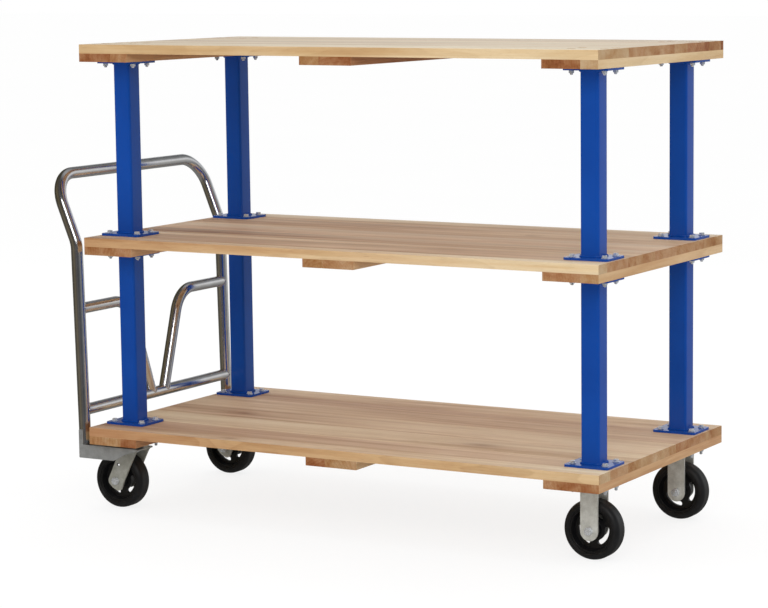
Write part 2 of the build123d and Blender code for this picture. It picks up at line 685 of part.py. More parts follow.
def swivel_top_plate(prefix, y):
    with BuildPart() as plate:
        with BuildSketch(Plane.XY.offset(PLATE_BASE_Z)):
            with Locations((KING_X, y)):
                RectangleRounded(CASTER_PLATE_X, CASTER_PLATE_Y, PLATE_CORNER_R)
                with GridLocations(BOLT_PITCH_X, BOLT_PITCH_Y, 2, 2):
                    Circle(BOLT_HOLE_R, mode=Mode.SUBTRACT)
        extrude(amount=CASTER_PLATE_T)
        with BuildSketch(Plane.XY.offset(BALL_Z + RACE_HALF_GAP)):
            with Locations((KING_X, y)):
                Circle(CROWN_R)
        extrude(amount=PLATE_BASE_Z - BALL_Z - RACE_HALF_GAP)
        with BuildSketch(king_section(y)):
            with Locations((RACE_R, BALL_Z)):
                Circle(BALL_R + FIT)
        revolve(axis=king_axis(y), mode=Mode.SUBTRACT)
        with BuildSketch(king_section(y)):
            Polygon(*KING_SEAT_OUTLINE, align=None)
        revolve(axis=king_axis(y), mode=Mode.SUBTRACT)
    finish(plate, f"{prefix}_top_plate")


def ball_race(prefix, y):
    with BuildPart() as balls:
        with Locations((KING_X, y, BALL_Z)):
            with PolarLocations(RACE_R, BALLS):
                Sphere(BALL_R)
    finish(balls, f"{prefix}_ball_race")


def king_bolt(prefix, y):
    with BuildPart() as bolt:
        with BuildSketch(king_section(y)):
            Polygon(*KING_BOLT_OUTLINE, align=None)
        revolve(axis=king_axis(y))
        with Locations((KING_X, y, CROWN_Z0 - KING_NUT_GAP - KING_NUT_H)):
            add(hex_solid(AXLE_AF, KING_NUT_H, bore=AXLE_R + THREAD_FIT, both=True))
    finish(bolt, f"{prefix}_king_bolt")


def swivel_fork(prefix, y):
    with BuildPart() as fork:
        with BuildSketch(Plane.XY.offset(CROWN_Z0)):
            with Locations((KING_X, y)):
                Circle(CROWN_R)
                Rectangle(CROWN_L, 2 * FORK_OUT)
        extrude(amount=CROWN_Z1 - CROWN_Z0)
        with BuildSketch(Plane.XY.offset(CROWN_Z1)):
            with Locations((KING_X, y)):
                Circle(FORK_RACE_R)
        extrude(amount=BALL_Z - RACE_HALF_GAP - CROWN_Z1)
        with BuildSketch(king_section(y)):
            with Locations((RACE_R, BALL_Z)):
                Circle(BALL_R + FIT)
        revolve(axis=king_axis(y), mode=Mode.SUBTRACT)
        for leg_y in (y - FORK_OUT, y + FORK_IN):
            with BuildSketch(Plane.XZ.offset(-leg_y)) as leg:
                Polygon(*[(KING_X + x, z) for x, z in SWIVEL_LEG], align=None)
                fillet(leg.vertices().filter_by_position(Axis.Y, 40, 158), radius=5.0)
                with Locations((SWIVEL_AXLE_X, WHEEL_R)):
                    Circle(AXLE_R + FIT, mode=Mode.SUBTRACT)
                with Locations((KING_X + LEG_HOLE_X, LEG_HOLE_Z)):
                    Circle(LEG_HOLE_R, mode=Mode.SUBTRACT)
            extrude(amount=-FORK_T)
        with BuildSketch(Plane.XY.offset(CROWN_Z0 - 1)):
            with Locations((KING_X, y)):
                Circle(AXLE_R + 0.09)
        extrude(amount=15, mode=Mode.SUBTRACT)
        shoulders = [edge for edge in fork.edges().filter_by(Axis.X)
                     if abs(edge.center().Z - CROWN_Z1) < 0.01
                     and abs(abs(edge.center().Y - y) - FORK_OUT) < 0.01]
        fillet(shoulders, radius=4.0)
    finish(fork, f"{prefix}_fork")


for (sign, side), open_at in zip(SIDES, (-9, -22)):
    prefix = f"swivel_caster_{side}"
    wheel_set(prefix, SWIVEL_AXLE_X, sign * POST_Y, sign, open_at)
    for build in (swivel_top_plate, ball_race, king_bolt, swivel_fork):
        build(prefix, sign * POST_Y)
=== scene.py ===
# A push trolley: three timber decks on square posts, four casters and a chromed tube handle.
# Its length runs along X with the handle at the rear (-X), its left side is +Y, Z is up and the
# floor is z = 0. Lengths are in metres unless a table says millimetres.
import math

import bmesh
import bpy
from mathutils import Matrix, Vector


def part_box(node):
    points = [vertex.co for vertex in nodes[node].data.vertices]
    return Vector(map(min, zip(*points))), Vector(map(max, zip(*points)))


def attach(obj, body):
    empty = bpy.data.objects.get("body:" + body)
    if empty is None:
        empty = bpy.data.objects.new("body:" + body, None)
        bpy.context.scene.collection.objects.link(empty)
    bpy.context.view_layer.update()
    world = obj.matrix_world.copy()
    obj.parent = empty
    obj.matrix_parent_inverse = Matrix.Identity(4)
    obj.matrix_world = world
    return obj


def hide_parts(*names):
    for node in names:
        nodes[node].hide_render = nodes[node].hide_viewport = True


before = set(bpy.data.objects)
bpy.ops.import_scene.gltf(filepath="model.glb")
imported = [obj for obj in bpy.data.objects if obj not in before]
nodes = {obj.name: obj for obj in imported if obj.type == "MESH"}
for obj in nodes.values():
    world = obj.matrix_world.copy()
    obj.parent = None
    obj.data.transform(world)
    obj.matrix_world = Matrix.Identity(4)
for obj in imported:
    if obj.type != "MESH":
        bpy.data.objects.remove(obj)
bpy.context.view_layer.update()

scene = bpy.context.scene

# ---------------------------------------------------------------- deck sizes
MM = 0.001
DECKS = ("bottom", "middle", "top")
low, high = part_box("top_deck_planks")
DECK_X = (low.x + high.x) / 2
DECK_TOPS = {deck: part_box(f"{deck}_deck_planks")[1].z for deck in DECKS}
DECK_PITCH = 0.51435
HALF_LENGTH = 0.762
PLANK_THICK, CLEAT_THICK = 0.0238, 0.0222

# plank limits across each deck, in mm from the centre line
PLANK_CUTS = {
    "bottom": (-381, -318, -215, -75, 78, 205, 268, 381),
    "middle": (-381, -336, -214, -167, -54, 79, 257, 381),
    "top": (-381, -209, -81, 63, 143, 283, 362, 381),
}
# each cleat is two boards wide: (cleat centre, joint from that centre), in mm
CLEAT_HALF = 76
CLEATS = ((-686.0, 22), (0.0, -18), (686.0, 23))
CLEAT_CUTS = [DECK_X + (centre + edge) * MM for centre, joint in CLEATS
              for edge in (-CLEAT_HALF, joint)] + [DECK_X + HALF_LENGTH]


# ---------------------------------------------------------------- shader helpers
class Value:
    """A node output. Arithmetic on it adds Math nodes, with the operands in written order."""

    def __init__(self, shader, socket):
        self.shader, self.socket = shader, socket

    def __add__(self, other):
        return self.shader.math("ADD", self, other)

    def __radd__(self, other):
        return self.shader.math("ADD", other, self)

    def __sub__(self, other):
        return self.shader.math("SUBTRACT", self, other)

    def __mul__(self, other):
        return self.shader.math("MULTIPLY", self, other)

    def __truediv__(self, other):
        return self.shader.math("DIVIDE", self, other)


class Shader:
    """Builds the nodes of one tree in reading order."""

    def __init__(self, tree):
        self.tree = tree
        tree.nodes.clear()

    def node(self, kind, **props):
        node = self.tree.nodes.new(kind)
        for key, value in props.items():
            setattr(node, key, value)
        return node

    def put(self, socket, value):
        """Links or sets an input; None leaves it alone."""
        if isinstance(value, Value):
            value = value.socket
        if isinstance(value, bpy.types.NodeSocket):
            self.tree.links.new(value, socket)
        elif value is not None:
            if socket.type == "RGBA" and not isinstance(value, (int, float)) and len(value) == 3:
                value = (*value, 1.0)
            socket.default_value = value

    def build(self, kind, inputs, out=0, **props):
        """Adds a node, fills its inputs by name or index and returns one output."""
        node = self.node(kind, **props)
        for key, value in inputs.items():
            self.put(node.inputs[key], value)
        return Value(self, node.outputs[out])

    def coord(self):
        return self.build("ShaderNodeTexCoord", {}, out="Object")

    def normal(self):
        return self.build("ShaderNodeNewGeometry", {}, out="Normal")

    def math(self, op, a, b=None, clamp=False):
        return self.build("ShaderNodeMath", {0: a, 1: b}, operation=op, use_clamp=clamp)

    def vec(self, op, a, b=None):
        out = "Value" if op in ("LENGTH", "DOT_PRODUCT") else 0
        return self.build("ShaderNodeVectorMath", {0: a, 1: b}, out=out, operation=op)

    def parts(self, kind, value):
        node = self.node(kind)
        self.put(node.inputs[0], value)
        return [Value(self, output) for output in node.outputs]

    def split(self, vector):
        return self.parts("ShaderNodeSeparateXYZ", vector)

    def channels(self, color):
        return self.parts("ShaderNodeSeparateColor", color)

    def join(self, x, y, z):
        return self.build("ShaderNodeCombineXYZ", {0: x, 1: y, 2: z})

    def noise(self, vector, scale=1.0, detail=2.0, rough=0.5, distort=0.0, out=0):
        inputs = {"Vector": vector, "Scale": scale, "Detail": detail, "Roughness": rough,
                  "Distortion": distort}
        return self.build("ShaderNodeTexNoise", inputs, out=out, noise_dimensions="3D")

    def ramp(self, factor, stops, mode="LINEAR"):
        """stops: (position, colour or grey level)"""
        node = self.node("ShaderNodeValToRGB")
        node.color_ramp.interpolation = mode
        elements = node.color_ramp.elements
        while len(elements) > 1:
            elements.remove(elements[-1])
        for i, (position, color) in enumerate(stops):
            element = elements[0] if i == 0 else elements.new(position)
            element.position = position
            grey = isinstance(color, (int, float))
            element.color = (color, color, color, 1.0) if grey else (*color, 1.0)
        self.put(node.inputs[0], factor)
        return Value(self, node.outputs[0])

    def remap(self, value, src, to=(0.0, 1.0)):
        inputs = {0: value, 1: src[0], 2: src[1], 3: to[0], 4: to[1]}
        return self.build("ShaderNodeMapRange", inputs)

    def mix(self, factor, a, b):
        inputs = {0: factor, 6: a, 7: b}  # 6 and 7 are the colour inputs
        return self.build("ShaderNodeMix", inputs, out=2, data_type="RGBA")

    def hsv(self, color, hue=0.5, sat=1.0, val=1.0):
        inputs = {"Color": color, "Hue": hue, "Saturation": sat, "Value": val}
        return self.build("ShaderNodeHueSaturation", inputs)

    def tint(self, color, amount, **change):
        """Moves a colour by amount towards its hsv-changed self."""
        return self.mix(amount, color, self.hsv(color, **change))

    def bump(self, height, strength, distance):
        inputs = {"Height": height, "Strength": strength, "Distance": distance}
        return self.build("ShaderNodeBump", inputs)


materials = {}


class Surface(Shader):
    """A material with a Principled surface, filed in materials under its name."""

    INPUTS = {"color": "Base Color", "metal": "Metallic", "rough": "Roughness",
              "normal": "Normal", "coat": "Coat Weight", "coat_rough": "Coat Roughness",
              "spec": "Specular IOR Level"}

    def __init__(self, name):
        material = materials[name] = bpy.data.materials.new(name)
        material.use_nodes = True
        super().__init__(material.node_tree)
        self.out = self.node("ShaderNodeOutputMaterial")
        self.bsdf = self.node("ShaderNodeBsdfPrincipled")
        self.put(self.out.inputs[0], self.bsdf.outputs[0])

    def principled(self, **values):
        for key, value in values.items():
            self.put(self.bsdf.inputs[self.INPUTS[key]], value)


# ---------------------------------------------------------------- wood
# wood colour from dark to light tone, for cream and for rosy boards
CREAM = ((0.16, (0.330, 0.165, 0.066)), (0.34, (0.480, 0.285, 0.130)),
         (0.52, (0.610, 0.412, 0.215)), (0.70, (0.720, 0.545, 0.325)),
         (0.86, (0.790, 0.640, 0.420)))
ROSY = ((0.16, (0.270, 0.118, 0.055)), (0.34, (0.440, 0.228, 0.115)),
        (0.52, (0.580, 0.355, 0.196)), (0.70, (0.680, 0.462, 0.280)),
        (0.86, (0.745, 0.540, 0.350)))
PORE, KNOT_HEART = (0.20, 0.105, 0.058), (0.27, 0.118, 0.046)
# SCUFF is the colour of scuff marks; the pale grey is a painted sheen, mixed in where the view
# glances along a face
SCUFF, PAINTED_SHEEN = (0.34, 0.25, 0.17), (0.57, 0.545, 0.455)
# one growth ring: slow rise to dark late wood, then a sudden end
RING_STOPS = ((0.0, 0.0), (0.45, 0.18), (0.82, 0.85), (0.93, 1.0), (1.0, 0.0))


def knot_fields(t, along, across, knots):
    """Wide bells that push the rings aside, and narrow dark hearts, summed over the knots."""
    push, heart = None, None
    for knot_along, knot_across, size in knots:
        # a knot is drawn out along the grain
        da = (along - knot_along) * (0.42 / size)
        dc = (across - knot_across) * (1.0 / size)
        distance = da * da + dc * dc
        bell = t.math("EXPONENT", distance * -1.0)
        core = t.math("EXPONENT", distance * -9.0)
        push = push + bell if push else bell
        heart = heart + core if heart else core
    return push, heart


def wood(name, axis, cuts, tones, top, knots=(), drift=None):
    """Solid hardwood. Rings run round an axis inside each board, so faces and end grain agree.

    cuts: board limits across the boards; tones: (tone, warmth, grain) 0..1 for each board;
    top: height of the upper face; knots: (along, across, size); drift: (tone, warmth) change
    of each board from end to end, 0.5 for none."""
    t = Surface(name)
    p = t.coord()
    x, y, z = t.split(p)
    along, across = (x, y) if axis == "X" else (y, x)
    first, last = cuts[0] - 1e-4, cuts[-1] + 1e-4  # a hair past the outer boards

    def per_board(rows):
        place = t.remap(across, src=(first, last))
        stops = [(max(0.0, (cut - first) / (last - first)), row)
                 for cut, row in zip(cuts[:-1], rows)]
        return t.channels(t.ramp(place, stops, mode="CONSTANT"))

    paleness, warmth, boldness = per_board(tones)
    depth = z - top
    # moves each board to its own part of the noise
    shift = t.join(paleness * 17.3, warmth * 11.1, boldness * 13.7)

    def grain(lengthwise, crosswise, **noise):
        """Noise with separate frequencies along and across the grain."""
        v = t.join(along * lengthwise, across * crosswise, depth * crosswise)
        return t.noise(t.vec("ADD", v, shift), **noise)

    if drift:
        change = per_board([(*row, 0.0) for row in drift])
        run = t.remap(along, src=(DECK_X - HALF_LENGTH, DECK_X + HALF_LENGTH), to=(-1.0, 1.0))
        tone_drift = (change[0] - 0.5) * run
        warm_drift = (change[1] - 0.5) * run
    push, heart = knot_fields(t, along, across, knots)

    # growth rings round a wandering pith: place, then coarse and fine wander, in metres
    wander = grain(1.1, 5.0, detail=3.0, rough=0.55) - 0.5
    ripple = grain(5.0, 40.0) - 0.5
    pith_across = across + (paleness - 0.5) * 0.7
    pith_depth = depth + (warmth * 0.14 + 0.02)
    radius = t.vec("LENGTH", t.join(0.0, pith_across, pith_depth))
    radius = radius + (wander * 0.085 + ripple * 0.004)
    if push:
        radius = radius + push * 0.034
    ring_pitch = boldness * 0.006 + 0.0052
    rings = t.ramp(t.math("FRACT", radius / ring_pitch), RING_STOPS)

    # grain figure, from broad to fine
    broad = grain(0.8, 11.0, detail=3.0, rough=0.55, distort=0.4)
    bands = grain(0.6, 42.0, detail=3.0, rough=0.6, distort=0.3)
    streak = grain(2.0, 260.0, detail=3.0, rough=0.6)
    fibre = grain(9.0, 900.0, rough=0.6)
    pores = t.ramp(grain(38.0, 1500.0, detail=1.0), ((0.0, 0.0), (0.62, 0.0), (0.72, 1.0)))
    flame = grain(3.2, 34.0, detail=3.0, rough=0.6, distort=0.8)

    # weight of each figure in the tone, re-centred, then the board's own tone
    tone = broad * 0.95 + (bands * 0.42 + streak * 0.16)
    tone = tone + flame * 0.36 + -0.445
    tone = tone + (paleness - 0.5) * 0.52
    patches = grain(0.9, 16.0, scale=1.7, detail=3.0, rough=0.6, distort=0.5)
    warm = warmth + (patches - 0.5) * 1.3
    if drift:
        tone, warm = tone + tone_drift, warm + warm_drift
    warm = t.math("MAXIMUM", t.math("MINIMUM", warm, 1.0), 0.0)
    cream = t.ramp(tone, CREAM)
    rosy = t.ramp(tone, ROSY)
    color = t.mix(warm, cream, rosy)

    # late wood, fibres and pores darken the colour
    late_wood = rings * t.remap(boldness, src=(0.0, 1.0), to=(0.10, 0.42))
    color = t.tint(color, late_wood, hue=0.490, sat=1.16, val=0.66)
    color = t.tint(color, fibre * 0.20, sat=1.05, val=0.78)
    color = t.mix(pores * 0.25, color, PORE)
    if push:
        color = t.tint(color, push * 0.45, hue=0.488, sat=1.15, val=0.72)
        color = t.mix(t.math("MULTIPLY", heart, 0.55, clamp=True), color, KNOT_HEART)

    # open end grain soaks up the finish and reads darker and redder
    nx, ny, nz = t.split(t.normal())
    on_end = t.math("ABSOLUTE", nx if axis == "X" else ny)
    on_end = t.remap(on_end, src=(0.75, 0.98))
    speck = grain(400.0, 420.0, rough=0.7)
    end_color = t.mix(t.remap(speck, src=(0.40, 0.62), to=(0.0, 0.35)),
                      t.hsv(color, hue=0.490, sat=1.12, val=0.74),
                      t.hsv(color, hue=0.484, sat=1.16, val=0.48))
    color = t.mix(on_end, color, end_color)

    # tops are painted paler and greyer, partly as wear and partly as painted light and sheen;
    # sides get painted shade, a little darker and warmer; scuffs are real marks
    on_top = t.remap(nz, src=(0.85, 0.99))
    wear = t.noise(p, scale=5.0, detail=5.0, rough=0.62)
    scuff_scale = (5.0, 48.0, 1.0) if axis == "X" else (48.0, 5.0, 1.0)
    scuff = t.noise(t.vec("MULTIPLY", p, scuff_scale), detail=6.0, rough=0.7)
    scuff = t.ramp(scuff, ((0.0, 0.0), (0.60, 0.0), (0.76, 1.0)))
    # painted top light and sheen: at least 0.6 on every top face, more where the wear noise is
    # high
    wear_and_painted_top_light = on_top * t.remap(wear, src=(0.25, 0.7), to=(0.6, 1.0))
    color = t.tint(color, wear_and_painted_top_light, hue=0.502, sat=0.78, val=1.14)
    color = t.mix(on_top * scuff * 0.10, color, SCUFF)
    # painted shade: side faces a little darker and warmer than the tops
    on_side = t.math("SUBTRACT", 1.0, t.math("ABSOLUTE", nz), clamp=True)
    color = t.tint(color, on_side, hue=0.498, sat=1.06, val=0.94)

    # glancing spec is turned down, and a pale grey painted sheen in the base colour stands in for
    # the glancing reflection
    facing = t.build("ShaderNodeLayerWeight", {"Blend": 0.5}, out="Facing")
    shine = t.remap(facing, src=(0.80, 0.985), to=(1.0, 0.0))
    # painted sheen: base colour pushed to pale grey at glancing views
    color = t.mix(t.remap(facing, src=(0.885, 0.975), to=(0.0, 0.62)), color, PAINTED_SHEEN)

    # base roughness plus fibre and wear; relief of rings and fibres less the pores
    rough = 0.42 + (fibre * 0.12 + wear * 0.10)
    relief = rings * 0.35 + (fibre * 0.5 - pores * 0.9)
    bump = t.bump(relief, strength=0.30, distance=0.00020)
    t.principled(color=color, rough=rough, normal=bump, spec=shine * 0.14 + 0.10)


# plank by plank from -Y: tone (dark..light), warmth (cream..rosy), grain (quiet..bold)
PLANK_TONES = {
    "bottom": ((0.60, 0.42, 0.80), (0.45, 0.78, 0.62), (0.76, 0.16, 0.45), (0.62, 0.44, 0.35),
               (0.50, 0.66, 0.40), (0.38, 0.82, 0.55), (0.50, 0.45, 0.30)),
    "middle": ((0.66, 0.26, 0.30), (0.45, 0.70, 0.42), (0.62, 0.50, 0.30), (0.34, 0.62, 0.55),
               (0.52, 0.80, 0.35), (0.42, 0.55, 0.50), (0.50, 0.30, 0.25)),
    "top": ((0.70, 0.04, 0.22), (0.56, 0.42, 0.40), (0.48, 0.60, 0.45), (0.62, 0.30, 0.35),
            (0.40, 0.95, 0.60), (0.58, 0.50, 0.40), (0.30, 0.90, 0.55)),
}
# plank by plank: change of (tone, warmth) from rear to front, 0.5 for none
PLANK_DRIFT = {
    "bottom": ((0.78, 0.14), (0.72, 0.30), (0.45, 0.60), (0.60, 0.40), (0.50, 0.60),
               (0.60, 0.45), (0.50, 0.50)),
    "middle": ((0.70, 0.26), (0.60, 0.50), (0.40, 0.60), (0.60, 0.40), (0.50, 0.50),
               (0.55, 0.55), (0.50, 0.50)),
    "top": ((0.56, 0.50), (0.50, 0.50), (0.60, 0.40), (0.50, 0.50), (0.45, 0.60),
            (0.50, 0.50), (0.50, 0.50)),
}
# knots: (along from the deck centre, across, size)
KNOTS = {
    "bottom": ((0.315, -0.150, 0.058), (-0.505, -0.012, 0.024), (-0.330, -0.352, 0.030)),
    "middle": ((-0.540, -0.110, 0.026), (0.310, 0.150, 0.022)),
    "top": ((0.120, -0.145, 0.026), (-0.420, 0.215, 0.022)),
}
# cleat board by board from the rear: tone, warmth, grain
CLEAT_TONES = {
    "bottom": ((0.44, 0.30, 0.95), (0.30, 0.95, 0.60), (0.34, 0.90, 0.80), (0.62, 0.35, 0.85),
               (0.34, 0.92, 0.75), (0.42, 0.85, 0.60)),
    "middle": ((0.40, 0.55, 0.85), (0.34, 0.95, 0.40), (0.44, 0.20, 0.95), (0.62, 0.55, 0.30),
               (0.42, 0.85, 0.45), (0.66, 0.45, 0.30)),
    "top": ((0.22, 1.00, 0.80), (0.52, 0.65, 0.45), (0.58, 0.25, 0.35), (0.34, 0.95, 0.85),
            (0.36, 0.80, 0.50), (0.66, 0.15, 0.30)),
}
for deck in DECKS:
    wood(f"{deck}_deck_plank_wood", "X", [cut * MM for cut in PLANK_CUTS[deck]],
         PLANK_TONES[deck], DECK_TOPS[deck],
         knots=[(DECK_X + along, across, size) for along, across, size in KNOTS[deck]],
         drift=PLANK_DRIFT[deck])
    wood(f"{deck}_deck_cleat_wood", "Y", CLEAT_CUTS, CLEAT_TONES[deck],
         DECK_TOPS[deck] - PLANK_THICK)


# ---------------------------------------------------------------- metals and rubber
def powder_coat():
    """Glossy blue with faint orange peel and dust on upward faces."""
    t = Surface("blue_powder_coat")
    p = t.coord()
    peel = t.noise(p, scale=480.0)
    cloud = t.noise(p, scale=6.0, detail=3.0)
    dust = t.noise(p, scale=140.0, detail=5.0, rough=0.7)
    color = t.ramp(cloud, ((0.3, (0.0022, 0.050, 0.290)), (0.7, (0.0030, 0.060, 0.335))))
    nz = t.split(t.normal())[2]
    film = t.remap(nz, src=(0.6, 1.0), to=(0.0, 0.10)) * t.remap(dust, src=(0.42, 0.70))
    color = t.mix(film, color, (0.16, 0.19, 0.26))
    rough = t.remap(dust, src=(0.3, 0.8), to=(0.14, 0.24))
    t.principled(color=color, rough=rough, normal=t.bump(peel, strength=0.05, distance=0.00008),
                 coat=0.05, coat_rough=0.08, spec=0.27)


def chrome():
    """Chrome with smears, fine brushing in its roughness and a slight ripple."""
    t = Surface("chromed_tube")
    p = t.coord()
    smear = t.noise(p, scale=26.0, detail=4.0, rough=0.6)
    brushing = t.noise(t.vec("MULTIPLY", p, (900.0, 900.0, 40.0)), rough=0.6)
    ripple = t.noise(p, scale=42.0, detail=1.0, rough=0.4)
    color = t.ramp(smear, ((0.35, (0.66, 0.655, 0.65)), (0.75, (0.76, 0.76, 0.765))))
    rough = t.remap(smear, src=(0.35, 0.75), to=(0.15, 0.21)) + brushing * 0.04
    t.principled(color=color, metal=1.0, rough=rough,
                 normal=t.bump(ripple, strength=0.03, distance=0.0005))


def zinc(name, light, shade, rough, crystals, dark, grime, metal):
    """Zinc plate or galvanising: soft crystal mottling, drawn streaks and grime.

    crystals: crystal cells per metre; dark: factor on shade in the darkest clouds."""
    t = Surface(name)
    p = t.coord()
    cells = t.node("ShaderNodeTexVoronoi", feature="F1")
    warp = t.vec("MULTIPLY", t.noise(p, scale=60.0, out=1), (0.004, 0.004, 0.004))
    t.put(cells.inputs["Vector"], t.vec("ADD", p, warp))
    t.put(cells.inputs["Scale"], crystals)
    cell = t.channels(cells.outputs["Color"])[0]
    cloud = t.noise(p, scale=34.0, detail=5.0, rough=0.65)
    streak = t.noise(t.vec("MULTIPLY", p, (700.0, 700.0, 26.0)), detail=3.0, rough=0.6)
    darkest = tuple(channel * dark for channel in shade)
    color = t.ramp(cloud, ((0.28, darkest), (0.48, shade), (0.72, light)))
    color = t.tint(color, cell * 0.22, sat=0.9, val=1.25)
    soot = t.noise(p, scale=85.0, detail=6.0, rough=0.75)
    soot = t.remap(soot, src=(0.50, 0.78), to=(0.0, grime))
    color = t.mix(soot, color, (0.085, 0.078, 0.066))
    # shares of streaks and crystals in the gloss and in the relief
    rough = rough + (cell * 0.10 + streak * 0.08)
    relief = streak * 0.4 + cell * 0.25
    t.principled(color=color, metal=metal, rough=rough,
                 normal=t.bump(relief, strength=0.16, distance=0.00016), spec=0.5)


def cast_iron():
    """Black paint over sand-cast iron."""
    t = Surface("black_cast_iron")
    p = t.coord()
    sand = t.noise(p, scale=520.0, detail=3.0, rough=0.65)
    lump = t.noise(p, scale=70.0, detail=3.0)
    color = t.ramp(sand, ((0.35, (0.0045, 0.0045, 0.005)), (0.75, (0.013, 0.013, 0.0145))))
    relief = sand * 0.6 + lump * 0.8
    t.principled(color=color, rough=t.remap(sand, src=(0.3, 0.8), to=(0.30, 0.48)),
                 normal=t.bump(relief, strength=0.35, distance=0.0005), spec=0.5)


def rubber():
    """Black rubber with pale scratches."""
    t = Surface("black_rubber")
    p = t.coord()
    pitting = t.noise(p, scale=900.0, detail=3.0, rough=0.6)
    cloud = t.noise(p, scale=24.0, detail=5.0, rough=0.65)
    scratch = t.noise(t.vec("MULTIPLY", p, (60.0, 900.0, 60.0)), detail=3.0, rough=0.6)
    color = t.ramp(cloud, ((0.3, (0.0055, 0.0055, 0.0062)), (0.75, (0.012, 0.012, 0.0135))))
    color = t.mix(t.remap(scratch, src=(0.55, 0.8)) * 0.25, color, (0.045, 0.043, 0.040))
    t.principled(color=color, rough=t.remap(cloud, src=(0.3, 0.8), to=(0.42, 0.60)),
                 normal=t.bump(pitting, strength=0.22, distance=0.0002), spec=0.45)


def bearing_steel():
    """Oiled steel with turning lines round the Y axis."""
    t = Surface("bearing_steel")
    p = t.coord()
    lines = t.noise(t.vec("MULTIPLY", p, (300.0, 2500.0, 300.0)), rough=0.6)
    oil = t.noise(p, scale=90.0, detail=4.0, rough=0.6)
    color = t.ramp(oil, ((0.35, (0.30, 0.29, 0.27)), (0.7, (0.55, 0.55, 0.56))))
    t.principled(color=color, metal=1.0, rough=t.remap(lines, src=(0.3, 0.8), to=(0.14, 0.30)),
                 normal=t.bump(lines, strength=0.1, distance=0.0001))


powder_coat()
chrome()
zinc("galvanised_steel", light=(0.325, 0.328, 0.322), shade=(0.262, 0.265, 0.259),
     rough=0.48, crystals=240.0, dark=0.8, grime=0.12, metal=0.30)
zinc("zinc_plated_steel", light=(0.50, 0.50, 0.465), shade=(0.38, 0.375, 0.325),
     rough=0.36, crystals=420.0, dark=0.78, grime=0.25, metal=0.32)
zinc("zinc_plated_steel_bright", light=(0.74, 0.745, 0.705), shade=(0.58, 0.578, 0.530),
     rough=0.34, crystals=420.0, dark=0.78, grime=0.22, metal=0.32)
zinc("zinc_fasteners", light=(0.88, 0.91, 0.95), shade=(0.72, 0.75, 0.79),
     rough=0.16, crystals=900.0, dark=0.72, grime=0.22, metal=0.58)
cast_iron()
rubber()
bearing_steel()


# ---------------------------------------------------------------- CAD pieces
def material_name(name):
    if name.endswith(("_planks", "_cleats")):
        return name[:-1] + "_wood"
    if name.startswith("post_"):
        return "blue_powder_coat"
    if name in ("handle_socket_left", "handle_socket_right"):
        return "galvanised_steel"
    if name in ("handle_hoop", "handle_lower_rail") or name.startswith("handle_brace"):
        return "chromed_tube"
    if name.endswith("_tyre"):
        return "black_rubber"
    if name.endswith("_wheel_core"):
        return "black_cast_iron"
    if name.endswith(("_ball_race", "_roller_bearing", "_axle_sleeve")):
        return "bearing_steel"
    if name.endswith(("_fork", "_top_plate")):
        return "zinc_plated_steel_bright" if name.startswith("rigid") else "zinc_plated_steel"
    return "zinc_fasteners"


# edge rounding by the start or end of a piece's name; the last match counts
BEVELS = {"planks": 0.0011, "cleats": 0.0011, "post": 0.0007, "fork": 0.0009,
          "top_plate": 0.0008, "socket": 0.0006, "core": 0.0010, "bolts": 0.0004,
          "nuts": 0.0003, "washers": 0.0004, "axle_bolt": 0.0005}


def bevel_width(name):
    width = 0.0
    socket = name.startswith("handle_socket_") and not name.endswith("screws")
    for key, value in BEVELS.items():
        if name.endswith(key) or name.startswith(key) or (key == "socket" and socket):
            width = value
    return width


def smooth(mesh, sharp_degrees):
    for polygon in mesh.polygons:
        polygon.use_smooth = True
    mesh.set_sharp_from_angle(angle=math.radians(sharp_degrees))


def dress(piece, material, width):
    """Material, welded seams, a small rounded edge and smooth shading on a CAD piece."""
    mesh = piece.data
    mesh.materials.clear()
    mesh.materials.append(material)
    for polygon in mesh.polygons:
        polygon.material_index = 0
    weld = piece.modifiers.new("weld", "WELD")
    weld.merge_threshold = 2e-6
    if width:
        bevel = piece.modifiers.new("edge", "BEVEL")
        bevel.width = width
        bevel.segments = 2
        bevel.limit_method = "ANGLE"
        bevel.angle_limit = math.radians(35.0)
        bevel.use_clamp_overlap = True
        bevel.harden_normals = True
        bevel.miter_outer = "MITER_ARC"
    if "custom_normal" in mesh.attributes:
        mesh.attributes.remove(mesh.attributes["custom_normal"])
    smooth(mesh, 35.0)


for name, piece in nodes.items():
    dress(piece, materials[material_name(name)], bevel_width(name))


# ---------------------------------------------------------------- mesh helpers
def mesh_object(name, bm, material):
    mesh = bpy.data.meshes.new(name)
    bm.to_mesh(mesh)
    bm.free()
    mesh.materials.append(material)
    piece = bpy.data.objects.new(name, mesh)
    scene.collection.objects.link(piece)
    return piece


def make(name, bm, slot, body, stands=()):
    """A smooth piece that rides on body; stands names the CAD pieces it stands in for."""
    bmesh.ops.remove_doubles(bm, verts=bm.verts, dist=1e-7)
    bmesh.ops.recalc_face_normals(bm, faces=bm.faces)
    piece = mesh_object(name, bm, materials[slot])
    smooth(piece.data, 40.0)
    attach(piece, body)
    if stands:
        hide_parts(*stands)


BEND_RADIUS = 0.085
STRAIGHT_STEP = 0.03
ARC_STEPS, ARC_UNIT = 40, 1.6  # steps in an arc of ARC_UNIT radians


